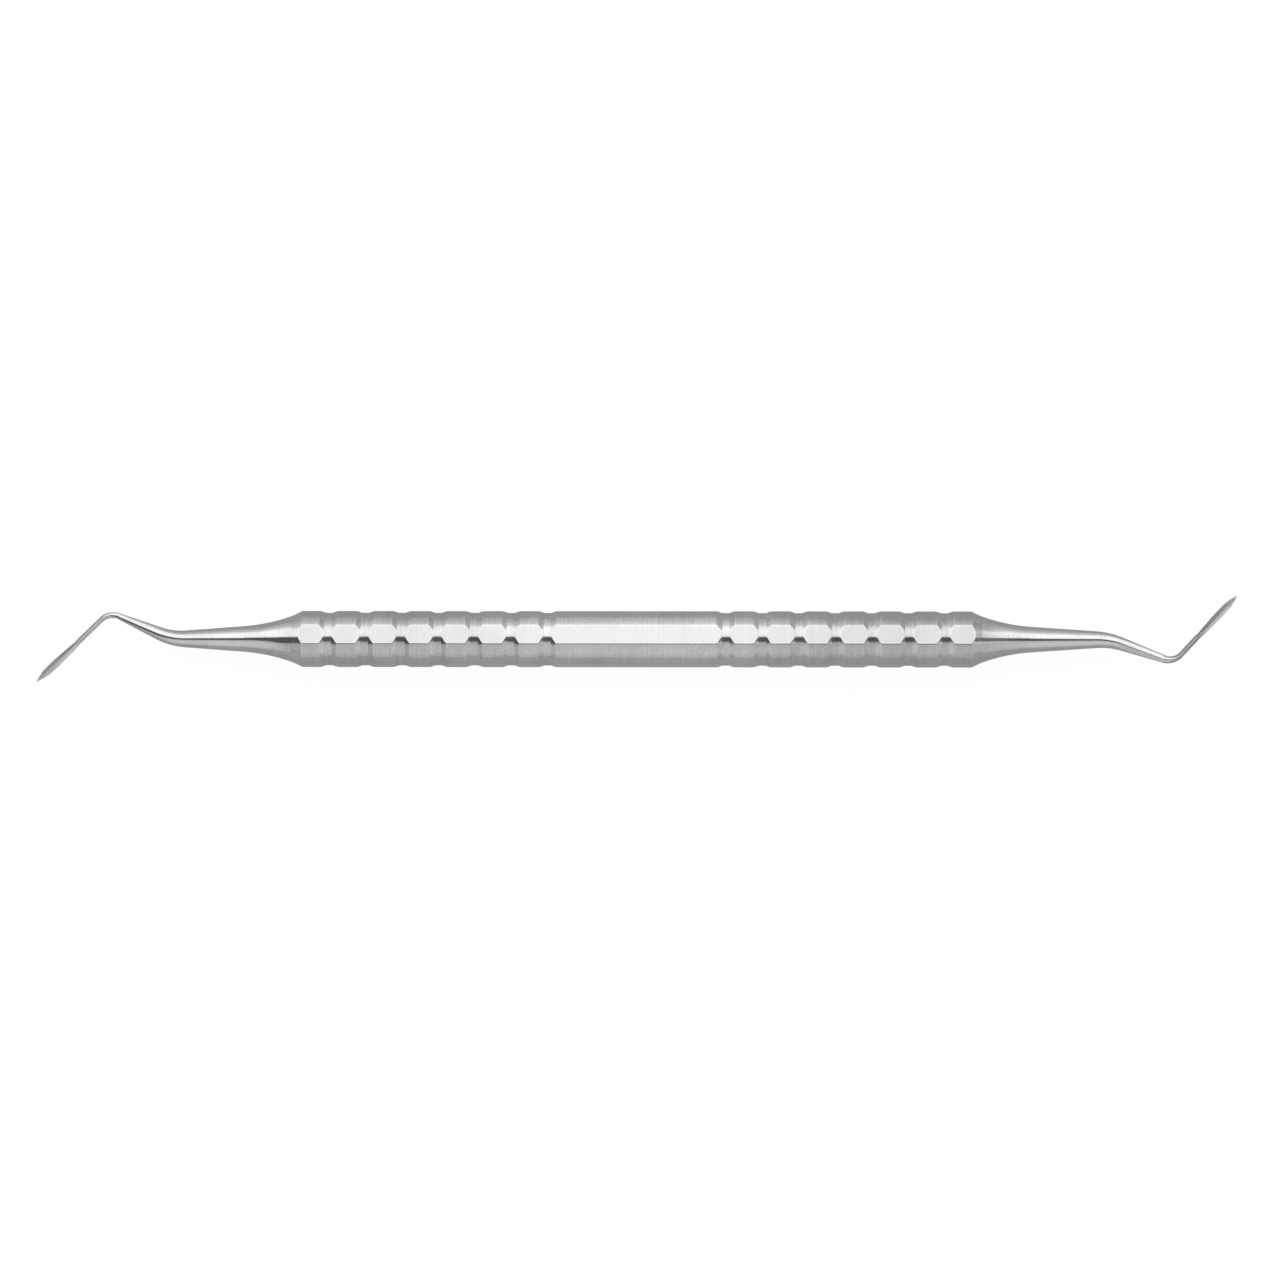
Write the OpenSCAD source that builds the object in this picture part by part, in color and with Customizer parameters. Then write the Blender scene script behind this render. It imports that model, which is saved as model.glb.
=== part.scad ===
// Double-ended dental hand scaler with a hollow ribbed handle.
// Millimetres. The handle axis lies along X, the bends of both tips lie in the XY plane.
// The origin is the middle of the handle, on its axis, and the lowest handle flat faces -Z.

/* [Handle] */
// Outer diameter of the round handle
handle_d = 8; // [7.6:0.1:10]
// Length of the handle tube between its two shoulders
handle_len = 94; // [94:1:110]
// Distance across two opposite milled flats
flat_af = 7.55; // [7.52:0.01:7.6]
// Bore of the hollow handle tube
tube_bore = 6; // [5:0.1:6.4]
// Width of the small bevel on the tube's outer end edges
end_bevel = 0.05; // [0.02:0.01:0.15]

/* [Grip grooves] */
// Number of grooves in each half of the grip
groove_count = 7; // [3:1:7]
// Distance between neighbouring grooves
groove_pitch = 5.12; // [4.5:0.02:5.12]
// Distance from the middle of the handle to the first groove
groove_start = 12.5; // [12.5:0.5:14]
// Diameter left at the bottom of a groove
groove_floor_d = 7.4; // [7.3:0.01:7.5]
// Width of the level floor of a groove
groove_floor_w = 1; // [0.8:0.05:1.1]
// Slope of a groove's sides in degrees
groove_slope = 22; // [20:1:26]

/* [End cones] */
// Length of the cone from the handle shoulder to the tip seam
cone_len = 8.1; // [7.5:0.1:9]
// Length of the steep chamfer next to the shoulder
chamfer_len = 1.3; // [1:0.1:1.6]
// Slope of the chamfer in degrees
chamfer_angle = 26; // [24:1:30]
// Slope in degrees where the hollow flare begins
flare_angle = 20; // [19:0.5:23]
// Slope in degrees where the flare meets the tip
flare_end_angle = 4.8; // [4:0.2:6]
// Length of the cone's spigot inside the handle tube
spigot_len = 8; // [6:0.5:12]
// Diameter of the tang that holds a tip in its cone
tang_d = 2.4; // [1.6:0.1:2.8]
// Length of the tang
tang_len = 13; // [10:0.5:14]

/* [Shanks] */
// Straight tapered length from the seam to the first bend on the right tip
right_shank = 9.57; // [8:0.01:12]
// Straight tapered length from the seam to the first bend on the left tip
left_shank = 8.51; // [8:0.01:12]
// First bend of the right tip in degrees
right_bend = 19.75; // [10:0.25:30]
// First bend of the left tip in degrees
left_bend = 23.25; // [10:0.25:30]
// Straight length between the two bends of the right tip
right_reach = 6.54; // [5:0.01:10]
// Straight length between the two bends of the left tip
left_reach = 6.46; // [5:0.01:10]
// Angle in degrees between the handle axis and the right neck
right_neck_angle = 47; // [30:0.25:60]
// Angle in degrees between the handle axis and the left neck
left_neck_angle = 45; // [30:0.25:60]
// Shank diameter at the start of the first bend
bend_d = 2.36; // [2.2:0.02:2.6]
// Shank diameter after the first bend
reach_d = 1.88; // [1.6:0.02:2.1]
// Shank diameter where the sharp bend of the right tip begins
right_apex_d = 1.1; // [0.8:0.02:1.2]
// Shank diameter where the sharp bend of the left tip begins
left_apex_d = 0.86; // [0.8:0.02:1.2]

/* [Blades] */
// Diameter of the thin neck behind each blade
neck_d = 0.76; // [0.6:0.02:0.8]
// Length of the round neck of the right tip, with the part inside the blade's root
right_neck = 4.27; // [3:0.01:7]
// Length of the round neck of the left tip, with the part inside the blade's root
left_neck = 5.2; // [3:0.01:7]
// Length of a blade from its root to its point
blade_len = 8.4; // [7:0.1:10]
// Greatest width of the right blade
right_blade_w = 1.1; // [0.9:0.02:1.4]
// Greatest width of the left blade
left_blade_w = 1.22; // [0.9:0.02:1.4]
// Length of the pointed end of a blade
point_len = 1.9; // [1.5:0.1:3]
// Height of a blade's ridge above its flat face
ridge_h = 0.42; // [0.36:0.02:0.6]
// Angle in degrees that each blade is rolled about its neck
blade_roll = 9; // [0:1:12]
// Angle in degrees between the right blade and its neck
right_blade_turn = 0.3; // [0:0.1:2]
// Angle in degrees between the left blade and its neck
left_blade_turn = 0.9; // [0:0.1:2]

/* [Hidden] */
$fn = 96;
handle_r = handle_d / 2;
shoulder_x = handle_len / 2;
bore_r = tube_bore / 2;
tang_r = tang_d / 2;
groove_floor_r = groove_floor_d / 2;
// The groove cutter reaches this far outside the handle
cutter_reach = 0.5;
cutter_r = handle_r + cutter_reach;
cutter_half = groove_floor_w / 2 + (cutter_r - groove_floor_r) / tan(groove_slope);
rim_r = handle_r - end_bevel;
chamfer_r = rim_r - chamfer_len * tan(chamfer_angle);
flare_len = cone_len - chamfer_len;
flare_arc = flare_len / (sin(flare_angle) - sin(flare_end_angle));
flare_x = chamfer_len + flare_arc * sin(flare_angle);
flare_y = chamfer_r + flare_arc * cos(flare_angle);
seam_r = flare_y - flare_arc * cos(flare_end_angle);
seam_x = shoulder_x + cone_len;
// The hole for the tang ends in a drilled point a little below the tang's end
tang_clearance = 0.3;
tang_hole = tang_len + tang_clearance;
drill_half_angle = 59;
drill_point = tang_r / tan(drill_half_angle);
tang_chamfer = 0.3;
flare_facets = 360;
// Each bend is made of short arcs of this radius with short tapers between them
bend_arc = 5;
bend_steps = 4;
bend_taper = 0.5;
apex_arc = 1.6;
apex_steps = 3;
apex_taper = 0.3;
// How far an arc reaches into its neighbours, and its thickness as a share of theirs
joint_overlap = 0.005;
joint_fit = 0.995;
// Shares of the blade's greatest width: at its root, on its inner part and where its point begins
root_share = 0.5;
inner_share = 0.83;
tail_share = 0.92;
// Shares of the ridge's full height at the same places
root_ridge = 0.7;
inner_ridge = 0.95;
tail_ridge = 0.8;
// Shares of the blade's length where the inner width and the greatest width are reached
inner_at = 0.26;
wide_at = 0.56;
// How far the ridge stands off the middle of the blade, as a share of the width
ridge_shift = 0.14;
// Depth of the blade's flat face below the neck's axis
face_drop = 0.26;
// Length of the neck's end that runs inside the blade's root
root_sink = 0.9;
// The neck then thins out inside the blade over this length, down to this share of its radius
neck_fade = 1.2;
neck_fade_share = 0.25;
part_colour = [0.78, 0.78, 0.8];
tip_colour = [0.7, 0.71, 0.74];

// Turns a shape drawn along Z so that it runs along X
module along_x() {
    rotate([0, 90, 0]) children();
}

// Square bar that trims a round body to the four milled flats
module flat_trim(x, length) {
    translate([x, -flat_af / 2, -flat_af / 2]) cube([length, flat_af, flat_af]);
}

// Ring groove with a level floor and sloped sides
module groove(x) {
    half = groove_floor_w / 2;
    translate([x, 0, 0]) along_x() rotate_extrude()
        polygon([[groove_floor_r, -half], [cutter_r, -cutter_half],
                 [cutter_r, cutter_half], [groove_floor_r, half]]);
}

module grooves() {
    for (i = [0:groove_count - 1]) {
        groove(groove_start + i * groove_pitch);
        groove(-groove_start - i * groove_pitch);
    }
}

// Round tube body with a small bevel on both end edges
module tube_body() {
    straight_len = handle_len - 2 * end_bevel;
    translate([-straight_len / 2, 0, 0]) along_x() cylinder(h = straight_len, r = handle_r);
    translate([straight_len / 2, 0, 0]) along_x() cylinder(h = end_bevel, r1 = handle_r, r2 = rim_r);
    translate([-shoulder_x, 0, 0]) along_x() cylinder(h = end_bevel, r1 = rim_r, r2 = handle_r);
}

module handle_tube() {
    color(part_colour) difference() {
        intersection() {
            tube_body();
            flat_trim(-handle_len / 2, handle_len);
        }
        grooves();
        translate([-handle_len, 0, 0]) along_x() cylinder(h = 2 * handle_len, r = bore_r);
    }
}

// Half profile of the cone: first number is the distance from the shoulder, second the radius
module cone_profile() {
    difference() {
        polygon([[0, 0], [0, rim_r], [chamfer_len, chamfer_r], [cone_len, chamfer_r], [cone_len, 0]]);
        intersection() {
            translate([flare_x, flare_y]) circle(r = flare_arc, $fn = flare_facets);
            translate([chamfer_len, 0]) square([cone_len, handle_d]);
        }
    }
}

// Turned end cone with its spigot and the hole for the tang, shoulder at x = 0
module cone() {
    difference() {
        union() {
            intersection() {
                along_x() rotate_extrude() mirror([1, -1]) cone_profile();
                flat_trim(0, cone_len);
            }
            translate([-spigot_len, 0, 0]) along_x() cylinder(h = spigot_len, r = bore_r);
        }
        translate([cone_len - tang_hole, 0, 0]) along_x() {
            cylinder(h = tang_hole, r = tang_r);
            translate([0, 0, -drill_point]) cylinder(h = drill_point, r1 = 0, r2 = tang_r);
        }
    }
}

// Straight round piece that tapers from r1 to r2, then whatever follows it
module leg(length, r1, r2) {
    along_x() cylinder(h = length, r1 = r1, r2 = r2);
    translate([length, 0, 0]) children();
}

// Bent round piece turning by the given angle, then whatever follows it
// It is a hair thinner than its neighbours and reaches a hair into both, so the pieces join cleanly
module bend(radius, angle, r) {
    side = sign(angle);
    reach_in = joint_overlap / radius * 180 / PI;
    translate([0, side * radius, 0]) {
        mirror([0, side < 0 ? 1 : 0, 0]) rotate(-90 - reach_in)
            rotate_extrude(angle = abs(angle) + 2 * reach_in)
                translate([radius, 0]) circle(r = r * joint_fit);
        rotate(angle) translate([0, -side * radius, 0]) children();
    }
}

// Bend that gets thinner on the way, in short arcs with short tapers between them
module tapered_bend(arc, angle, r1, r2, steps, taper) {
    if (steps == 1) {
        bend(arc, angle, r1) children();
    } else {
        step_angle = angle / steps;
        next_r = r1 + (r2 - r1) / (steps - 1);
        bend(arc, step_angle, r1) leg(taper, r1, next_r)
            tapered_bend(arc, angle - step_angle, next_r, r2, steps - 1, taper) children();
    }
}

// One cross-section of the blade: one edge, the ridge and the other edge
function blade_section(x, width, height, shift) = [
    [x, -width / 2, -face_drop],
    [x, shift * width, height - face_drop],
    [x, width / 2, -face_drop]
];

// Pointed three-sided blade along X, with its flat face down and its ridge up
module blade(width, shift) {
    sections = concat(
        blade_section(0, width * root_share, ridge_h * root_ridge, shift),
        blade_section(blade_len * inner_at, width * inner_share, ridge_h * inner_ridge, shift),
        blade_section(blade_len * wide_at, width, ridge_h, shift),
        blade_section(blade_len - point_len, width * tail_share, ridge_h * tail_ridge, shift),
        [[blade_len, 0, -face_drop]]
    );
    last = 9; // first point of the last section before the blade's tip
    lower_sides = [for (i = [0:3:last - 3], j = [0:2]) [i + j, i + (j + 1) % 3, i + 3 + j]];
    upper_sides = [for (i = [0:3:last - 3], j = [0:2]) [i + (j + 1) % 3, i + 3 + (j + 1) % 3, i + 3 + j]];
    point_sides = [for (j = [0:2]) [last + j, last + (j + 1) % 3, last + 3]];
    polyhedron(points = sections, faces = concat([[2, 1, 0]], lower_sides, upper_sides, point_sides));
}

// Hardened tip: tang, tapered shank, two bends, thin neck and blade, all from one bar
module tip(shank, first_bend, reach, apex_d, neck, neck_angle, turn, width, shift) {
    neck_r = neck_d / 2;
    translate([-tang_len, 0, 0]) leg(tang_chamfer, tang_r - tang_chamfer, tang_r)
        leg(tang_len - tang_chamfer, tang_r, tang_r)
        leg(shank, seam_r, bend_d / 2)
        tapered_bend(bend_arc, -first_bend, bend_d / 2, reach_d / 2, bend_steps, bend_taper)
        leg(reach, reach_d / 2, apex_d / 2)
        tapered_bend(apex_arc, first_bend + neck_angle, apex_d / 2, neck_r, apex_steps, apex_taper)
        leg(neck, neck_r, neck_r) {
            leg(neck_fade, neck_r, neck_r * neck_fade_share);
            translate([-root_sink, 0, 0]) rotate(-turn) rotate([blade_roll * sign(shift), 0, 0])
                blade(width, shift);
        }
}

module left_cone() {
    color(part_colour) rotate(180) translate([shoulder_x, 0, 0]) cone();
}

module right_cone() {
    color(part_colour) translate([shoulder_x, 0, 0]) cone();
}

module left_tip() {
    color(tip_colour) rotate(180) translate([seam_x, 0, 0])
        tip(left_shank, left_bend, left_reach, left_apex_d, left_neck, left_neck_angle,
            left_blade_turn, left_blade_w, ridge_shift);
}

module right_tip() {
    color(tip_colour) translate([seam_x, 0, 0])
        tip(right_shank, right_bend, right_reach, right_apex_d, right_neck, right_neck_angle,
            right_blade_turn, right_blade_w, -ridge_shift);
}

handle_tube();
left_cone();
right_cone();
left_tip();
right_tip();
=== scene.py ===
import bpy
import math
import numpy as np
from mathutils import Matrix, Vector


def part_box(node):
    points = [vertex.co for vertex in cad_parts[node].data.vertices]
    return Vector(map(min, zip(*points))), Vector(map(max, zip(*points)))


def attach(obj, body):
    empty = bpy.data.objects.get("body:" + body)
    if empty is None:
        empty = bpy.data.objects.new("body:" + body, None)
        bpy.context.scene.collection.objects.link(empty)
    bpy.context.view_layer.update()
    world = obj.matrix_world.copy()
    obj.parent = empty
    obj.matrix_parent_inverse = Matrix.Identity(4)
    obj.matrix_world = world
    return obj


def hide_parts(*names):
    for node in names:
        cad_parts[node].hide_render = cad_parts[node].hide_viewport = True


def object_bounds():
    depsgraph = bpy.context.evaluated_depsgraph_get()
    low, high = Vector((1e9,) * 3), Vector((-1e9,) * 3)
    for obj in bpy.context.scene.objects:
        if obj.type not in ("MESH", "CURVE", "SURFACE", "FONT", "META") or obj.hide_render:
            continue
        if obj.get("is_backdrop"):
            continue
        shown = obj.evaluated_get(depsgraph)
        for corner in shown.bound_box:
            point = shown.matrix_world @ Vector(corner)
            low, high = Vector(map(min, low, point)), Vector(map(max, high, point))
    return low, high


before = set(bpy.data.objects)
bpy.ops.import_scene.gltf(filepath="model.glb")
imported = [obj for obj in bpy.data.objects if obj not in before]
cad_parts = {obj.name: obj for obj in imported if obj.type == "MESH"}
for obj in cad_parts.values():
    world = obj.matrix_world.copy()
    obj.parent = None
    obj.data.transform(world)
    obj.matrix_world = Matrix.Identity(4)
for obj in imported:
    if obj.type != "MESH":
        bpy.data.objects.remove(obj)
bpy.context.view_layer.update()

MM = 0.001
scene = bpy.context.scene

# ---------------------------------------------------------------- sizes, in millimetres

HANDLE_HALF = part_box("handle_tube")[1][0] / MM   # from the middle to a shoulder
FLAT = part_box("handle_tube")[1][2] / MM          # from the axis to a milled flat
CONE_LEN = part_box("right_cone")[1][0] / MM - HANDLE_HALF
HANDLE_R = 4.0
BORE_R = 3.0
END_ROUND = 0.05          # rounded outer rim at both ends of the tube
ARRIS = 0.03              # how far the faces blend into each other along the milled flats
LEAST_ANGLE = 0.007       # least step between two points of a ring, in radians
GROOVES = 7               # in each half of the grip
GROOVE_START = 12.5       # from the middle to the first groove
GROOVE_PITCH = 5.12
GROOVE_FLOOR_R = 3.7
GROOVE_FLOOR = 0.5        # half the width of a groove's level floor
GROOVE_SLOPE = math.tan(math.radians(22))
GROOVE_EASE = 0.05        # rounding of the corner beside the floor
GROOVE_HALF = GROOVE_FLOOR + (HANDLE_R - GROOVE_FLOOR_R) / GROOVE_SLOPE

CHAMFER_LEN = 1.3
CHAMFER_ANGLE = math.radians(26)
CHAMFER_EASE = 0.12       # half the length of the eased corner behind the chamfer
FLARE_ANGLE = math.radians(20)
FLARE_END_ANGLE = math.radians(4.8)
SPIGOT_LEN = 8.0
TANG_R = 1.2
TANG_LEN = 13.0
TANG_CHAMFER = 0.3
TANG_HOLE = 13.3
DRILL_POINT = TANG_R / math.tan(math.radians(59))

RIM_X = HANDLE_HALF - END_ROUND
RIM_R = HANDLE_R - END_ROUND
CHAMFER_R = RIM_R - CHAMFER_LEN * math.tan(CHAMFER_ANGLE)
FLARE_ARC = (CONE_LEN - CHAMFER_LEN) / (math.sin(FLARE_ANGLE) - math.sin(FLARE_END_ANGLE))
FLARE_X = CHAMFER_LEN + FLARE_ARC * math.sin(FLARE_ANGLE)
FLARE_Y = CHAMFER_R + FLARE_ARC * math.cos(FLARE_ANGLE)
SEAM_R = FLARE_Y - FLARE_ARC * math.cos(FLARE_END_ANGLE)

# ---------------------------------------------------------------- mesh helpers


def soft_min(a, b, blend):
    """Smaller of two radii, rounded over where they meet."""
    near = np.clip(1 - np.abs(a - b) / blend, 0, None)
    return np.minimum(a, b) - near * near * blend / 4


def smooth_step(value, low, high):
    """0 below low, 1 above high and a smooth rise between them."""
    t = np.clip((value - low) / (high - low), 0, 1)
    return t * t * (3 - 2 * t)


def ring_mesh(name, rings, sharp_rings, masks, ends):
    """Closed mesh from equal rings of points.

    ends is "loop" where the last ring joins the first, or "poles" for one end point on each side.
    """
    count, per_ring = len(rings), len(rings[0])
    verts = np.concatenate(rings).tolist()
    faces = []
    pairs = [(i, i + 1) for i in range(count - 1)]
    if ends == "loop":
        pairs.append((count - 1, 0))
    for a, b in pairs:
        for j in range(per_ring):
            k = (j + 1) % per_ring
            faces.append((a * per_ring + j, a * per_ring + k, b * per_ring + k, b * per_ring + j))
    if ends == "poles":
        first, last = np.mean(rings[0], axis=0), np.mean(rings[-1], axis=0)
        verts += [first.tolist(), last.tolist()]
        top = (count - 1) * per_ring
        for j in range(per_ring):
            k = (j + 1) % per_ring
            faces.append((len(verts) - 2, k, j))
            faces.append((len(verts) - 1, top + j, top + k))
    mesh = bpy.data.meshes.new(name)
    mesh.from_pydata([[c * MM for c in v] for v in verts], [], faces)
    mesh.validate()
    for face in mesh.polygons:
        face.use_smooth = True
    for edge in mesh.edges:
        a, b = edge.vertices[0] // per_ring, edge.vertices[1] // per_ring
        if a == b and a in sharp_rings and max(edge.vertices) < count * per_ring:
            edge.use_edge_sharp = True
    for mask, values in masks.items():
        levels = np.zeros(len(verts))
        levels[:count * per_ring] = np.concatenate(values)
        layer = mesh.attributes.new(mask, "FLOAT", "POINT")
        layer.data.foreach_set("value", levels.astype(np.float32))
    obj = bpy.data.objects.new(name, mesh)
    scene.collection.objects.link(obj)
    return obj


def finish_piece(obj, node, slot):
    """The piece stands for one CAD node, rides on its body and takes the look of its material slot."""
    obj.data.materials.append(LOOKS[slot])
    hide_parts(node)
    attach(obj, "root")


# ---------------------------------------------------------------- handle tube


def quarter_angle(theta):
    """Angle from the middle of the nearest milled flat."""
    return np.mod(theta + math.pi / 4, math.pi / 2) - math.pi / 4


def circle_ring(x, radius, angles):
    """One ring of points around the handle's axis. Angle 0 points up, along Z."""
    return np.stack([np.full_like(angles, x), radius * np.sin(angles), radius * np.cos(angles)], axis=1)


def groove_radius(x):
    """Radius of the turned surface at x.

    It is full size on the lands. In a groove it has a level floor and sloped sides.
    """
    side = np.abs(x)
    number = np.clip(np.round((side - GROOVE_START) / GROOVE_PITCH), 0, GROOVES - 1)
    off = np.abs(side - (GROOVE_START + number * GROOVE_PITCH)) - GROOVE_FLOOR
    eased = np.clip(off + GROOVE_EASE, 0, None) ** 2 / (4 * GROOVE_EASE)
    climb = np.where(off > GROOVE_EASE, off, eased)
    return soft_min(GROOVE_FLOOR_R + climb * GROOVE_SLOPE, HANDLE_R, ARRIS)


def ring_angles(round_r):
    """Angles of one ring, gathered along the edges of the four flats."""
    edge = []
    for step in (-3.0, -1.6, -1.0, -0.6, -0.2, 0.2, 0.6, 1.0, 1.6, 3.0):
        ratio = min(FLAT / (round_r + step * ARRIS), 1.0)
        edge.append(math.acos(ratio))
    angles = [edge[0] * share for share in (0.0, 0.3, 0.6, 0.85)] + edge
    for i in range(1, len(angles)):
        angles[i] = max(angles[i], angles[i - 1] + LEAST_ANGLE)
    last = angles[-1]
    angles += [last + (math.pi / 4 - last) * share for share in (0.18, 0.36, 0.54, 0.72, 0.9)]
    quarter = [-a for a in reversed(angles[1:])] + angles
    return np.array([q * math.pi / 2 + a for q in range(4) for a in quarter])


def handle_stations():
    """Places along the handle, close together across each groove and its edges."""
    # From a groove's middle: the corner of the floor, where the side meets the flats, and the top
    steps = [0.44, 0.47, 0.5, 0.53, 0.57, 0.64, 0.675, 0.69, 0.71, 0.75, 0.82, 0.91, 1.0, 1.09]
    steps += [GROOVE_HALF + d for d in (-0.06, -0.03, 0.0, 0.03, 0.07, 0.16)]
    half = list(np.arange(1.0, GROOVE_START - GROOVE_HALF - 0.3, 1.0))
    for i in range(GROOVES):
        centre = GROOVE_START + i * GROOVE_PITCH
        half += [centre + sign * d for d in steps for sign in (-1, 1)] + [centre]
        if i < GROOVES - 1:
            half += [centre + GROOVE_PITCH / 2 + d for d in (-0.6, 0.0, 0.6)]
    half += [RIM_X - d for d in (0.6, 0.2, 0.05, 0.0)]
    half += [RIM_X + END_ROUND * math.sin(math.radians(a)) for a in (20, 40, 55, 70, 80, 90)]
    half = sorted(set(round(x, 4) for x in half))
    return [-x for x in reversed(half)] + [0.0] + half


def turned_ring(x, round_r, drop):
    """One ring of a round body trimmed to the four flats, with its masks for the flats and their edges.
    """
    angles = ring_angles(round_r)
    flat_r = FLAT / np.cos(quarter_angle(angles))
    radius = soft_min(np.full_like(flat_r, round_r), flat_r, ARRIS) - drop
    land = smooth_step(round_r - flat_r, 0.0, ARRIS)
    arris = np.exp(-((round_r - flat_r) / (2 * ARRIS)) ** 2)
    return circle_ring(x, radius, angles), land, arris


def handle_tube():
    """Grooved outside, rounded rims, end faces and the bore right through."""
    rings, land, arris = [], [], []
    for x in handle_stations():
        over = max(abs(x) - RIM_X, 0.0)
        drop = END_ROUND - math.sqrt(max(END_ROUND ** 2 - over ** 2, 0.0))
        round_r = float(groove_radius(np.array(x)))
        ring, on_land, on_arris = turned_ring(x, round_r, drop)
        rings.append(ring)
        land.append(on_land)
        arris.append(on_arris)
    outer = len(rings)
    angles = ring_angles(HANDLE_R)
    for x in (HANDLE_HALF, -HANDLE_HALF):
        rings.append(circle_ring(x, BORE_R, angles))
        for mask in (land, arris):
            mask.append(np.zeros(len(angles)))
    masks = {"land": land, "arris": arris}
    obj = ring_mesh("grip_tube", rings, [0, outer - 1, outer, outer + 1], masks, "loop")
    finish_piece(obj, "handle_tube", "handle_steel")


# ---------------------------------------------------------------- end cones


def cone_radius(d):
    """Radius of the cone at the distance d from the shoulder: steep chamfer, then a hollow flare."""
    if d <= CHAMFER_LEN:
        return RIM_R - d * math.tan(CHAMFER_ANGLE)
    return FLARE_Y - math.sqrt(FLARE_ARC ** 2 - (FLARE_X - d) ** 2)


def cone_outside():
    """Distance and radius along the cone, with the corner behind the chamfer eased."""
    flats_end = (RIM_R - FLAT) / math.tan(CHAMFER_ANGLE)
    places = [0.0, 0.05, 0.12, 0.2, 0.27, 0.32, flats_end, 0.4, 0.45, 0.52, 0.62, 0.8, 1.0]
    places += [CHAMFER_LEN + CHAMFER_EASE * s for s in (-1.0, -0.7, -0.35, 0.0, 0.35, 0.7, 1.0)]
    places += list(np.linspace(CHAMFER_LEN + 0.3, CONE_LEN, 28))
    bend = math.tan(CHAMFER_ANGLE) - math.tan(FLARE_ANGLE)
    profile = []
    for d in places:
        near = max(CHAMFER_EASE - abs(d - CHAMFER_LEN), 0.0)
        profile.append((d, cone_radius(d) + bend * near ** 2 / (4 * CHAMFER_EASE)))
    return profile


def end_cone(name, node, side):
    """Cone, spigot and tang hole. side is -1 for the left end and 1 for the right end."""
    rings, land, arris = [], [], []
    angles = ring_angles(HANDLE_R)

    def plain(d, radius):
        """Round ring at the distance d from the shoulder, with no finish masks."""
        rings.append(circle_ring(HANDLE_HALF + d, radius, angles))
        land.append(np.zeros(len(angles)))
        arris.append(np.zeros(len(angles)))

    # Spigot inside the tube, then the face against the tube's end
    plain(-SPIGOT_LEN, BORE_R)
    plain(0.0, BORE_R)
    for d, r in cone_outside():
        ring, on_land, on_arris = turned_ring(HANDLE_HALF + d, r, 0.0)
        rings.append(ring)
        land.append(on_land)
        # Worn edges, painted brighter as a highlight, only where the flats still cut into the chamfer
        arris.append(on_arris * (1.0 if r > FLAT - 0.1 else 0.0))
    outer = len(rings)
    # Hole for the tang, down to its drilled point
    plain(CONE_LEN, TANG_R)
    plain(CONE_LEN - TANG_HOLE, TANG_R)
    plain(CONE_LEN - TANG_HOLE - DRILL_POINT, 0.01)
    rings = [ring * np.array([side, side, 1.0]) for ring in rings]
    masks = {"land": land, "arris": arris}
    obj = ring_mesh(name, rings, [0, 1, 2, outer - 1, outer, outer + 1], masks, "poles")
    finish_piece(obj, node, "cone_steel")


# ---------------------------------------------------------------- tips

# Each tip, from the seam outwards: straight shank, gentle bend, reach, sharp bend, neck and blade.
# Angles are in degrees. turn is how far the blade leans back from the neck's direction, ridge is how
# far the blade's ridge stands off its middle as a share of the width, and roll turns the blade about
# its length.
# flats are the hand-ground flats on the reach: tilt, half width at the start and at the end. They run
# out at fade, in mm from the start of the sharp bend. roof are the neck's flats: tilt and half width.
# dull is how far the neck, the blade's upper and lower face as seen from the camera and the point are
# darkened, from 0 to 1: partly the duller finish that grinding leaves, partly painted shade.
RIGHT = dict(shank=9.57, bend=19.75, reach=6.54, apex_r=0.55, neck=4.27, neck_angle=47.0, turn=0.3,
             width=1.1, ridge=-0.14, roll=-9.0,
             flats=((12.0, 30.0, 46.0), (-26.0, 30.0, 44.0), (-10.0, 28.6, 43.6)), fade=(-0.3, 0.2),
             roof=((44.0, 45.0), (-50.0, 45.0)), dull_and_shade=(0.6, 1.0, 0.0, 1.0))
LEFT = dict(shank=8.51, bend=23.25, reach=6.46, apex_r=0.43, neck=5.2, neck_angle=45.0, turn=0.9,
            width=1.22, ridge=0.14, roll=9.0,
            flats=((-14.0, 20.0, 38.0), (11.0, 16.0, 34.0)), fade=(0.8, 1.7),
            roof=((-44.0, 45.0), (50.0, 45.0)), dull_and_shade=(0.25, 0.6, 0.0, 1.0))
BEND_R1, BEND_R2 = 1.18, 0.94     # shank radius before and after the gentle bend
NECK_R = 0.38
BEND_ARC, BEND_STEPS, BEND_TAPER = 5.0, 4, 0.5
APEX_ARC, APEX_STEPS, APEX_TAPER = 1.6, 3, 0.3
STEP = 0.01                       # spacing of the points that make up a tip's middle line
TURN_WINDOW, RADIUS_WINDOW = 25, 40   # smoothing of the bends and the radius, in such points
BEND_SPACING, SPACING = 0.12, 0.35    # between two rings, in a bend and elsewhere
BLADE_LEN = 8.4
ROOT_SINK = 0.9                   # length of the neck's end that runs inside the blade's root
RIDGE_H = 0.42                    # thickness of the blade, from its flat underside to the ridge
FACE_DROP = 0.22                  # the underside lies this far below the neck's axis
EDGE_ROUND = 0.012                # rounding of the blade's edges
FACE_POINTS = 26                  # along each side of the blade's section
CORNER_STEPS = (0.0, 0.25, 0.5, 0.75, 1.0)
POINT_START = 0.75                # share of the blade's length where the ground point begins


def bend_headings(angle, arc, steps, taper):
    """Lengths and turns of a bend: short arcs with short straight tapers between them."""
    parts = []
    for i in range(steps):
        parts.append((arc * math.radians(abs(angle)) / steps, math.radians(angle) / steps))
        if i < steps - 1:
            parts.append((taper, 0.0))
    return parts


def smoothed(values, window):
    """Running average that keeps both ends."""
    kernel = np.hanning(2 * window + 3)[1:-1]
    before = 2 * values[0] - values[window:0:-1]
    after = 2 * values[-1] - values[-2:-window - 2:-1]
    return np.convolve(np.concatenate([before, values, after]), kernel / kernel.sum(), mode="valid")


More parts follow.
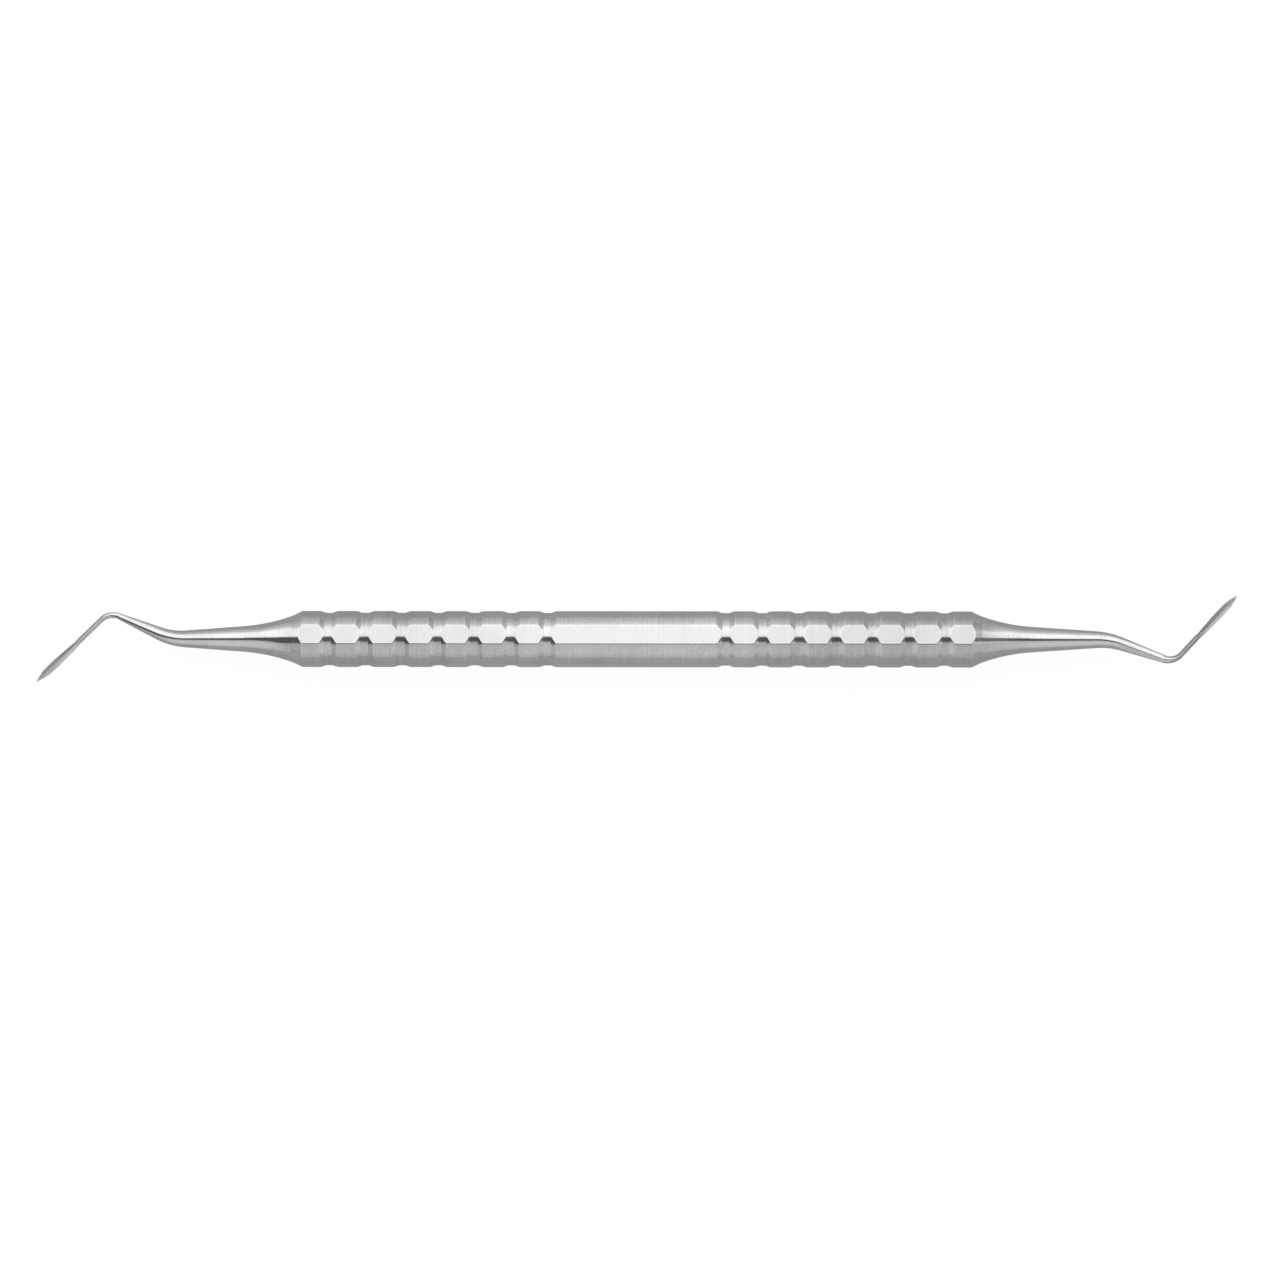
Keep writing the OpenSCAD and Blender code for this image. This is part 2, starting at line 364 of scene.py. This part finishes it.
def tip_path(tip):
    """Stations along the tip's middle line, with their place, heading and radius.

    marks are the distances at which the shank, each bend, the reach and the neck start and end.
    """
    first = bend_headings(-tip["bend"], BEND_ARC, BEND_STEPS, BEND_TAPER)
    apex = bend_headings(tip["bend"] + tip["neck_angle"], APEX_ARC, APEX_STEPS, APEX_TAPER)
    parts = [(tip["shank"], 0.0)] + first + [(tip["reach"], 0.0)] + apex
    parts.append((tip["neck"] - ROOT_SINK, 0.0))
    lengths = np.cumsum([0.0] + [p[0] for p in parts])
    turns = np.cumsum([0.0] + [p[1] for p in parts])
    marks = lengths[[0, 1, 1 + len(first), 2 + len(first), 2 + len(first) + len(apex), -1]]
    stations = np.arange(0.0, marks[-1], STEP)
    headings = smoothed(np.interp(stations, lengths, turns), TURN_WINDOW)
    x = np.concatenate([[0.0], np.cumsum(np.cos(headings[:-1]) * STEP)])
    y = np.concatenate([[0.0], np.cumsum(np.sin(headings[:-1]) * STEP)])
    radii = [SEAM_R, BEND_R1, BEND_R2, tip["apex_r"], NECK_R, NECK_R]
    radius = smoothed(np.interp(stations, marks, radii), RADIUS_WINDOW)
    return stations, x, y, headings, radius, marks


def ground_flats(tip, stations, marks):
    """Tilt of each ground flat, and its half width along the tip, for the reach and then the neck."""
    fade_from, fade_to = (marks[3] + mm for mm in tip["fade"])
    # The flats open inside the gentle bend and reach their end width just before the sharp one
    places = [marks[1] + 0.9, marks[2] + 1.0, marks[3] - 0.8, fade_from, fade_to]
    flats = []
    for tilt, half, last_half in tip["flats"]:
        reach = np.interp(stations, places, [0.0, half, last_half, last_half, 0.0])
        flats.append((math.radians(tilt), np.radians(reach)))
    for tilt, half in tip["roof"]:
        neck = np.interp(stations, [fade_from + 0.3, marks[4]], [0.0, half])
        flats.append((math.radians(tilt), np.radians(neck)))
    return flats


def section_corners(width, height, shift, drop, roll):
    """Corners of the three-sided blade section, in (across, up), rolled about the neck's axis."""
    corners = [(-width / 2, -drop), (shift * width, height - drop), (width / 2, -drop)]
    c, s = math.cos(math.radians(roll)), math.sin(math.radians(roll))
    return [(c * a - s * b, s * a + c * b) for a, b in corners]


def section_points(corners, rounding):
    """Closed outline of a blade section with its corners rounded a little."""
    corners = [np.array(corner) for corner in corners]

    def cut(i, k):
        """Where the rounding of corner i meets the side towards the corner k places on."""
        here = corners[i % 3]
        sides = {step: corners[(i + step) % 3] - here for step in (-1, 1)}
        reach = min([3 * rounding] + [0.2 * np.linalg.norm(side) for side in sides.values()])
        return here + sides[k] / np.linalg.norm(sides[k]) * reach

    points = []
    for i in range(3):
        start, end, following = cut(i, -1), cut(i, 1), cut(i + 1, -1)
        for t in CORNER_STEPS:
            points.append((1 - t) ** 2 * start + 2 * t * (1 - t) * corners[i] + t * t * end)
        for t in np.linspace(0, 1, FACE_POINTS + 2)[1:-1]:
            points.append(end + (following - end) * t)
    return np.array(points)


def blade_size(share):
    """Width and thickness at a share of the blade's length, each as a share of its largest."""
    places = [0.0, 0.09, 0.26, 0.42, 0.56, 0.70, 0.774, 0.84, 0.90, 0.96, 1.0]
    widths = [0.60, 0.72, 0.85, 0.94, 1.0, 0.96, 0.92, 0.74, 0.52, 0.25, 0.01]
    heights = [1.0, 1.0, 1.0, 1.0, 1.0, 0.95, 0.85, 0.62, 0.40, 0.18, 0.01]
    return float(np.interp(share, places, widths)), float(np.interp(share, places, heights))


def blade_section(tip, width, height):
    """Outline of the blade where its width and thickness have these shares of their largest."""
    corners = section_corners(tip["width"] * width, RIDGE_H * height, tip["ridge"], FACE_DROP,
                              tip["roll"])
    return section_points(corners, EDGE_ROUND)


def blade_tip(name, node, side, tip):
    """Tang, swept bar and blade in one mesh. side is -1 for the left end and 1 for the right end."""
    stations, path_x, path_y, headings, radius, marks = tip_path(tip)
    flats = ground_flats(tip, stations, marks)
    middle = blade_section(tip, 1.0, 1.0)
    # Every ring has its points at the same angles as the blade's section, so that all of them match
    angles = np.unwrap(np.arctan2(middle[:, 0], middle[:, 1]))
    none = np.zeros_like(angles)
    on_neck, above, below, on_point = tip["dull_and_shade"]
    rings, worn_and_highlit, ground_and_shade = [], [], []

    def add_ring(centre, heading, across, up, wear_and_highlight, dull_and_shade):
        sideways = np.array([-math.sin(heading), math.cos(heading), 0.0])
        rings.append(np.array(centre) + np.outer(across, sideways) + np.outer(up, [0.0, 0.0, 1.0]))
        worn_and_highlit.append(wear_and_highlight)
        ground_and_shade.append(dull_and_shade)

    def trimmed(i):
        """Outline at station i, cut by its ground flats, and how near each point is to a flat's edge."""
        reach, edge = np.full_like(angles, radius[i]), none
        for tilt, half in flats:
            if half[i] > 0.02:
                flat_r = radius[i] * math.cos(half[i]) / np.maximum(np.cos(angles - tilt), 0.2)
                blend = 0.03 * radius[i]
                edge = np.maximum(edge, np.exp(-((reach - flat_r) / blend) ** 2))
                reach = soft_min(reach, flat_r, blend)
        return reach * np.sin(angles), reach * np.cos(angles), edge

    # Tang inside the cone, then the step out to the shank
    for x, r in ((-TANG_LEN, TANG_R - TANG_CHAMFER), (-TANG_LEN + TANG_CHAMFER, TANG_R), (0.0, TANG_R)):
        add_ring((x, 0, 0), 0.0, r * np.sin(angles), r * np.cos(angles), none, none)

    # Shank, bends, reach and neck
    last = -1.0
    for i, s in enumerate(stations):
        in_bend = marks[1] - 0.5 < s < marks[2] + 0.5 or marks[3] - 0.6 < s < marks[4] + 0.4
        spacing = BEND_SPACING if in_bend else SPACING
        if s - last < spacing and i not in (0, len(stations) - 1):
            continue
        last = s
        across, up, edge = trimmed(i)
        # Painted shade on the neck, with the duller finish of grinding, growing through the sharp bend
        dull_and_shade = none + on_neck * float(smooth_step(s, marks[3] + 0.2, marks[4]))
        add_ring((path_x[i], path_y[i], 0), headings[i], across, up, edge, dull_and_shade)

    # Blade, growing out of the neck
    heading = headings[-1] - math.radians(tip["turn"])
    root = np.array([path_x[-1], path_y[-1], 0.0])
    forward = np.array([math.cos(heading), math.sin(heading), 0.0])
    across, up, edge = trimmed(len(stations) - 1)
    neck_shape = np.stack([across, up], axis=1)
    # 1 on the face that lies higher in the photo, 0 on the lower one
    beyond = smooth_step(middle[:, 0] - tip["ridge"] * tip["width"], -0.03, 0.03)
    higher = beyond if side > 0 else 1 - beyond
    shares = np.concatenate([np.linspace(0.01, 0.2, 16), np.linspace(0.22, 0.74, 18),
                             np.linspace(0.755, 0.997, 21)])
    for share in shares:
        blend = float(smooth_step(share, 0.0, 0.18))
        shape = neck_shape * (1 - blend) + blade_section(tip, *blade_size(share)) * blend
        on_blade = float(smooth_step(share, 0.0, 0.1))
        # Painted shade on the blade face that lies higher as seen from the camera, and on the neck, with
        # the duller finish of grinding
        dull_and_shade = on_neck * (1 - on_blade) + (above * higher + below * (1 - higher)) * on_blade
        at_point = float(smooth_step(share, POINT_START, POINT_START + 0.04))
        dull_and_shade = np.maximum(dull_and_shade, on_point * (0.4 + 0.6 * higher) * at_point)
        centre = root + forward * BLADE_LEN * share
        add_ring(centre, heading, shape[:, 0], shape[:, 1], edge * (1 - blend), dull_and_shade)

    seam = np.array([HANDLE_HALF + CONE_LEN, 0, 0])
    placed = [(ring + seam) * np.array([side, side, 1.0]) for ring in rings]
    # The ground mask carries the grinding's duller finish together with painted shade
    obj = ring_mesh(name, placed, [0, 1, 2, 3], {"arris": worn_and_highlit, "ground_and_shade": ground_and_shade}, "poles")
    finish_piece(obj, node, "tip_steel")


# ---------------------------------------------------------------- material helpers


def new_material(name):
    """Material with an empty node tree."""
    mat = bpy.data.materials.new(name)
    mat.use_nodes = True
    mat.node_tree.nodes.clear()
    return mat, mat.node_tree.nodes, mat.node_tree.links


def add(ns, kind, **values):
    """New node; in_NAME sets an input's value, and any other name a property."""
    node = ns.new(kind)
    for key, value in values.items():
        if key.startswith("in_"):
            node.inputs[key[3:].replace("_", " ")].default_value = value
        else:
            setattr(node, key, value)
    return node


def math_node(ns, links, op, *args, clamp=False):
    """Result of a maths node on numbers and sockets."""
    node = ns.new("ShaderNodeMath")
    node.operation = op
    node.use_clamp = clamp
    for i, value in enumerate(args):
        if isinstance(value, (int, float)):
            node.inputs[i].default_value = value
        else:
            links.new(value, node.inputs[i])
    return node.outputs[0]


def map_range(ns, links, value, lo, hi, out_lo, out_hi, smooth=False):
    """Value moved from the range lo to hi into the range out_lo to out_hi, and kept inside it."""
    node = ns.new("ShaderNodeMapRange")
    if smooth:
        node.interpolation_type = "SMOOTHSTEP"
    links.new(value, node.inputs["Value"])
    node.inputs["From Min"].default_value = lo
    node.inputs["From Max"].default_value = hi
    node.inputs["To Min"].default_value = out_lo
    node.inputs["To Max"].default_value = out_hi
    return node.outputs["Result"]


def noise(ns, links, coord, scale, detail, rough):
    """Noise texture; scale is one number, or one for each axis."""
    tex = add(ns, "ShaderNodeTexNoise", in_Scale=1.0, in_Detail=detail, in_Roughness=rough)
    mapping = add(ns, "ShaderNodeMapping")
    mapping.inputs["Scale"].default_value = scale if isinstance(scale, tuple) else (scale, scale, scale)
    links.new(coord, mapping.inputs["Vector"])
    links.new(mapping.outputs[0], tex.inputs["Vector"])
    return tex.outputs["Fac"]


def per_mm(size):
    """Noise scale for features of about this size in millimetres."""
    return 1.0 / (size * MM)


# ---------------------------------------------------------------- materials

WORN_HIGHLIGHT_GAIN = 0.05          # how much brighter a worn edge is painted: partly wear, partly a painted highlight
LEAST_ROUGH = 0.03


def steel(name, reflect, rough, mottle, ring_size, ring_depth, grain_size, grain_depth):
    """Polished stainless steel with fine turning rings, grain, smudges, worn edges painted brighter as a
    highlight, and painted shade where the tip is ground.

    Sizes are in mm. Depths are the strengths of the bumps. mottle is how far the shade wanders.
    The masks come from the mesh: land is a milled flat, arris an edge that is worn and painted brighter
    as a highlight, and ground a hand-ground part of a tip that also carries painted shade. A mask that a
    piece lacks reads as 0.
    """
    mat, ns, links = new_material(name)
    out = add(ns, "ShaderNodeOutputMaterial")
    bsdf = add(ns, "ShaderNodeBsdfPrincipled", in_Metallic=1.0)
    links.new(bsdf.outputs[0], out.inputs[0])
    coord = add(ns, "ShaderNodeTexCoord").outputs["Object"]

    def mask(layer):
        return add(ns, "ShaderNodeAttribute", attribute_name=layer).outputs["Fac"]

    def maths(op, a, b, clamp=False):
        return math_node(ns, links, op, a, b, clamp=clamp)

    def mixed(*shares):
        """Sum of textures, each with its share."""
        total = maths("MULTIPLY", *shares[0])
        for texture, share in shares[1:]:
            total = maths("ADD", total, maths("MULTIPLY", texture, share))
        return total

    # Turning rings run round the axis, scratches run along it
    rings = noise(ns, links, coord, (per_mm(ring_size), 40.0, 40.0), 3.0, 0.6)
    grain = noise(ns, links, coord, per_mm(grain_size), 3.0, 0.6)
    smudge = noise(ns, links, coord, per_mm(5.0), 4.0, 0.6)
    scratch = noise(ns, links, coord, (per_mm(2.5), per_mm(0.06), per_mm(0.06)), 2.0, 0.5)

    # Reflectance: even steel, worn edges painted brighter as a highlight, duller where ground by hand,
    # with painted shade there
    tone = mixed((rings, 0.30), (grain, 0.40), (smudge, 0.20), (scratch, 0.10))
    spread = map_range(ns, links, mask("land"), 0, 1, mottle, mottle * 0.45)
    tone = map_range(ns, links, tone, 0.36, 0.64, -1.0, 1.0)
    level = maths("ADD", maths("MULTIPLY", tone, spread), 1.0)
    # Darker where ground: partly the grinding's duller finish, partly painted shade
    level = maths("MULTIPLY", level, map_range(ns, links, mask("ground_and_shade"), 0, 1, 1.0, 0.66))
    # Worn edges: partly real wear, partly a painted highlight that brightens the colour along each arris
    wear_and_highlight = maths("MULTIPLY", mask("arris"), map_range(ns, links, smudge, 0.3, 0.6, 0.5, 1.0))
    level = maths("ADD", level, maths("MULTIPLY", wear_and_highlight, WORN_HIGHLIGHT_GAIN))
    colour = add(ns, "ShaderNodeCombineColor")
    shade = maths("MULTIPLY", level, reflect, clamp=True)
    for channel in ("Red", "Green", "Blue"):
        links.new(shade, colour.inputs[channel])
    links.new(colour.outputs[0], bsdf.inputs["Base Color"])

    # Roughness: satin, smoother along edges, rougher where ground by hand
    satin = map_range(ns, links, smudge, 0.3, 0.7, rough * 0.85, rough * 1.15)
    satin = maths("ADD", satin, map_range(ns, links, grain, 0.3, 0.7, -0.02, 0.02))
    satin = maths("ADD", satin, maths("MULTIPLY", mask("ground_and_shade"), 0.06))
    satin = maths("SUBTRACT", satin, maths("MULTIPLY", wear_and_highlight, 0.04))
    links.new(maths("MAXIMUM", satin, LEAST_ROUGH), bsdf.inputs["Roughness"])

    height = mixed((rings, ring_depth), (grain, grain_depth), (scratch, grain_depth * 0.15))
    bump = add(ns, "ShaderNodeBump", in_Strength=1.0)
    bump.inputs["Distance"].default_value = MM
    links.new(height, bump.inputs["Height"])
    links.new(bump.outputs[0], bsdf.inputs["Normal"])
    return mat


# One look for each material slot of the record
LOOKS = {
    "handle_steel": steel("satin_steel", reflect=0.74, rough=0.11, mottle=0.26, ring_size=0.15,
                          ring_depth=0.0014, grain_size=0.22, grain_depth=0.0070),
    "cone_steel": steel("fine_satin_steel", reflect=0.79, rough=0.09, mottle=0.20, ring_size=0.13,
                        ring_depth=0.0008, grain_size=0.24, grain_depth=0.0030),
    "tip_steel": steel("polished_steel", reflect=0.81, rough=0.08, mottle=0.18, ring_size=0.13,
                       ring_depth=0.0005, grain_size=0.20, grain_depth=0.0018),
}

handle_tube()
end_cone("cone_left", "left_cone", -1)
end_cone("cone_right", "right_cone", 1)
blade_tip("blade_left", "left_tip", -1, LEFT)
blade_tip("blade_right", "right_tip", 1, RIGHT)

# ---------------------------------------------------------------- studio

CAM_TILT = math.radians(10.2)      # the camera leans this much towards -Y
CAM_DISTANCE = 0.70
CAM_SIDE = 9.0 * MM                # the camera stands a little to the right of the middle
CAM_ROLL = math.radians(0.18)
SENSOR_MM = 36.0
FRAME_WIDTH = 179.86 * MM          # what the picture spans at the instrument
FRAME_CENTRE = Vector((0.46 * MM, -0.1 * MM, 0.0))
FLOOR_GAP = 0.01 * MM              # keeps the table's face off the faces that lie on it
TENT_R = 0.2
TENT_HALF = 0.6
TENT_STEPS = 72
FLOOR_HALF = 3.0


def tent_emission(ns, links):
    """Light of the tent at a place on it.

    The tent has bands around the handle's axis, and they change along its length. The ends of the
    instrument slope, so they reflect places on the tent far beyond the instrument's own ends.
    """
    geometry = add(ns, "ShaderNodeNewGeometry")
    split = add(ns, "ShaderNodeSeparateXYZ")
    links.new(geometry.outputs["Position"], split.inputs[0])
    x, y, z = split.outputs
    arriving = add(ns, "ShaderNodeSeparateXYZ")
    links.new(geometry.outputs["Incoming"], arriving.inputs[0])
    # How far the reflected ray leans towards the right end
    lean = math_node(ns, links, "MULTIPLY", arriving.outputs["X"], -1.0)

    def product(*factors):
        result = factors[0]
        for factor in factors[1:]:
            result = math_node(ns, links, "MULTIPLY", result, factor)
        return result

    def one_plus(amount, *shares):
        return math_node(ns, links, "ADD", 1.0, product(*shares, amount))

    def ease(value, lo, hi, unit):
        """0 at lo, 1 at hi and a smooth rise between them."""
        return map_range(ns, links, value, lo * unit, hi * unit, 0.0, 1.0, smooth=True)

    def rise(value, lo, hi, unit):
        """0 at lo, 1 at hi and a straight rise between them."""
        return map_range(ns, links, value, lo * unit, hi * unit, 0.0, 1.0)

    # 0 is the direction of the camera, positive is beyond the handle
    angle = math_node(ns, links, "ADD", math_node(ns, links, "ARCTAN2", y, z), CAM_TILT)
    degree = math.radians(1)
    # The overhead light is narrower towards the right and wider towards the left. The dark gap in
    # front of it is wider at both ends, on the side away from that light.
    at_left, at_right = ease(x, -116, -205, MM), ease(x, 118, 152, MM)
    narrow = product(ease(lean, 0.4, 0.6, 1.0), map_range(ns, links, x, 170 * MM, 280 * MM, 1.0, 0.3),
                     ease(angle, 38, 60, degree), math.radians(17))
    wide = product(ease(x, -118, -152, MM), ease(angle, 36, 52, degree), math.radians(-8))
    gap_left = product(at_left, rise(angle, -46, -24, degree), rise(angle, 3, -24, degree),
                       math.radians(16))
    gap_right = product(at_right, rise(angle, -34, -16, degree), rise(angle, 3, -16, degree),
                        math.radians(3))
    for shift in (narrow, wide, gap_left, gap_right):
        angle = math_node(ns, links, "ADD", angle, shift)
    share = map_range(ns, links, angle, -math.pi, math.pi, 0.0, 1.0)
    # Angle in degrees and level: grey table side, dark gap, overhead light, grey far side
    bands = [(-180, 0.38), (-94, 0.38), (-86, 0.42), (-78, 0.46), (-67, 0.53), (-57, 0.57),
             (-33, 0.57), (-20, 0.52), (-14, 0.46), (-8, 0.10), (3, 0.09), (8, 0.20), (13, 0.98),
             (20, 1.12), (36, 1.18), (45, 1.16), (54, 1.06), (62, 0.80), (70, 0.65), (81, 0.54),
             (93, 0.46), (102, 0.42), (180, 0.42)]
    ramp = add(ns, "ShaderNodeValToRGB")
    elements = ramp.color_ramp.elements
    elements.remove(elements[-1])
    for i, (deg, level) in enumerate(bands):
        place = (deg + 180) / 360
        element = elements[0] if i == 0 else elements.new(place)
        element.position = place
        element.color = (level, level, level, 1.0)
    links.new(share, ramp.inputs["Fac"])
    # Brighter in the middle of the handle, above all beyond it, and dimmer right of the middle
    beyond = ease(angle, 30, 62, degree)
    below = ease(angle, 0, -20, degree)
    over = ease(angle, 5, 15, degree)
    off_middle = math_node(ns, links, "ABSOLUTE", math_node(ns, links, "ADD", x, 2.5 * MM))
    middle = map_range(ns, links, off_middle, 8 * MM, 34 * MM, 1.0, 0.0, smooth=True)
    right = product(ease(x, 14, 42, MM), ease(x, 95, 65, MM))
    off_centre = math_node(ns, links, "ABSOLUTE", x)
    ends = product(ease(off_centre, 62, 85, MM), ease(off_centre, 205, 145, MM))
    far_right = ease(x, 300, 360, MM)
    far_left = ease(x, -130, -260, MM)
    # In the gap itself, the right end is not quite as dark
    gap = product(ease(angle, 14, 5, degree), ease(angle, -22, -10, degree), ease(x, 105, 170, MM))
    return product(ramp.outputs["Color"],
                   one_plus(0.09, middle), one_plus(0.12, middle, beyond),
                   one_plus(0.04, middle, below),
                   one_plus(-0.07, right), one_plus(-0.12, right, beyond),
                   one_plus(0.12, ends, below), one_plus(0.20, far_right, below),
                   one_plus(-0.26, far_left, below),
                   one_plus(-0.50, ease(x, 90, 330, MM), over),
                   one_plus(-0.10, far_left, over),
                   one_plus(0.12, ease(x, 90, 150, MM), beyond),
                   one_plus(-0.09, ease(x, 100, 170, MM), below),
                   one_plus(0.9, gap))


def light_tent():
    """Long arched light tent over the instrument, seen only in reflections."""
    verts, faces = [], []
    for i in range(TENT_STEPS + 1):
        a = -math.pi / 2 + math.pi * i / TENT_STEPS
        for x in (-TENT_HALF, TENT_HALF):
            verts.append((x, TENT_R * math.sin(a), TENT_R * math.cos(a)))
    for i in range(TENT_STEPS):
        faces.append((2 * i, 2 * i + 1, 2 * i + 3, 2 * i + 2))
    mesh = bpy.data.meshes.new("light_tent")
    mesh.from_pydata(verts, [], faces)
    obj = bpy.data.objects.new("light_tent", mesh)
    scene.collection.objects.link(obj)
    obj.visible_camera = False
    obj.visible_shadow = False
    obj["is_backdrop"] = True
    mat, ns, links = new_material("tent_light")
    mat.cycles.emission_sampling = "NONE"
    out = add(ns, "ShaderNodeOutputMaterial")
    glow = add(ns, "ShaderNodeEmission")
    links.new(tent_emission(ns, links), glow.inputs["Strength"])
    links.new(glow.outputs[0], out.inputs[0])
    mesh.materials.append(mat)


def surroundings():
    """Pale surroundings: white to the camera, grey in reflections past the tent's ends."""
    world = bpy.data.worlds.new("studio")
    scene.world = world
    world.use_nodes = True
    ns, links = world.node_tree.nodes, world.node_tree.links
    ns.clear()
    out = add(ns, "ShaderNodeOutputWorld")
    grey = add(ns, "ShaderNodeBackground")
    grey.inputs["Color"].default_value = (0.36, 0.36, 0.36, 1)
    white = add(ns, "ShaderNodeBackground")
    white.inputs["Color"].default_value = (1, 1, 1, 1)
    path = add(ns, "ShaderNodeLightPath")
    mix = add(ns, "ShaderNodeMixShader")
    links.new(path.outputs["Is Camera Ray"], mix.inputs["Fac"])
    links.new(grey.outputs[0], mix.inputs[1])
    links.new(white.outputs[0], mix.inputs[2])
    links.new(mix.outputs[0], out.inputs[0])


def floor():
    """Plain pale table: white to the camera, a soft grey glow where the steel reflects it, with painted
    shade and painted light in that glow.
    """
    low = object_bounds()[0][2] - FLOOR_GAP
    mesh = bpy.data.meshes.new("floor")
    corners = [(a * FLOOR_HALF, b * FLOOR_HALF, low) for a, b in ((-1, -1), (1, -1), (1, 1), (-1, 1))]
    mesh.from_pydata(corners, [], [(0, 1, 2, 3)])
    obj = bpy.data.objects.new("floor", mesh)
    scene.collection.objects.link(obj)
    obj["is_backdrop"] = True
    mat, ns, links = new_material("pale_table")
    mat.cycles.emission_sampling = "NONE"
    out = add(ns, "ShaderNodeOutputMaterial")
    diffuse = add(ns, "ShaderNodeBsdfDiffuse")
    diffuse.inputs["Color"].default_value = (0.9, 0.9, 0.9, 1)
    glow = add(ns, "ShaderNodeEmission", in_Strength=1.03)
    seen = add(ns, "ShaderNodeMixShader")
    seen.inputs["Fac"].default_value = 0.94
    links.new(diffuse.outputs[0], seen.inputs[1])
    links.new(glow.outputs[0], seen.inputs[2])
    # Reflected table: painted shade close under the instrument, painted light under its middle
    split = add(ns, "ShaderNodeSeparateXYZ")
    links.new(add(ns, "ShaderNodeNewGeometry").outputs["Position"], split.inputs[0])
    off_axis = math_node(ns, links, "ABSOLUTE", split.outputs["Y"])
    far = math_node(ns, links, "ABSOLUTE", split.outputs["X"])
    near = map_range(ns, links, off_axis, 4 * MM, 24 * MM, 0.34, 0.375, smooth=True)
    along = map_range(ns, links, far, 5 * MM, 34 * MM, 1.07, 1.0, smooth=True)
    level = math_node(ns, links, "MULTIPLY", near, along)
    grey = add(ns, "ShaderNodeEmission")
    links.new(level, grey.inputs["Strength"])
    path = add(ns, "ShaderNodeLightPath")
    mix = add(ns, "ShaderNodeMixShader")
    links.new(path.outputs["Is Glossy Ray"], mix.inputs["Fac"])
    links.new(seen.outputs[0], mix.inputs[1])
    links.new(grey.outputs[0], mix.inputs[2])
    links.new(mix.outputs[0], out.inputs[0])
    mesh.materials.append(mat)


def camera():
    """Camera at the photo's angle: a long lens from above, leaning a little."""
    cam = bpy.data.cameras.new("camera")
    cam.sensor_width = SENSOR_MM
    cam.lens = SENSOR_MM * CAM_DISTANCE / FRAME_WIDTH
    cam.clip_start = 0.01
    cam.clip_end = 20.0
    obj = bpy.data.objects.new("camera", cam)
    scene.collection.objects.link(obj)
    lean = Vector((0.0, -math.sin(CAM_TILT), math.cos(CAM_TILT)))
    off_centre = Vector((CAM_SIDE, 0.0, 0.0)) + lean * CAM_DISTANCE
    back = off_centre.normalized()
    right = Vector((-math.sin(CAM_ROLL), math.cos(CAM_ROLL), 0.0)).cross(back).normalized()
    obj.location = FRAME_CENTRE + off_centre
    obj.rotation_euler = Matrix((right, back.cross(right), back)).transposed().to_euler()
    scene.camera = obj


surroundings()
light_tent()
floor()
camera()
scene.view_settings.view_transform = "Standard"
scene.view_settings.look = "None"
scene.view_settings.exposure = 0.0
scene.view_settings.gamma = 1.0
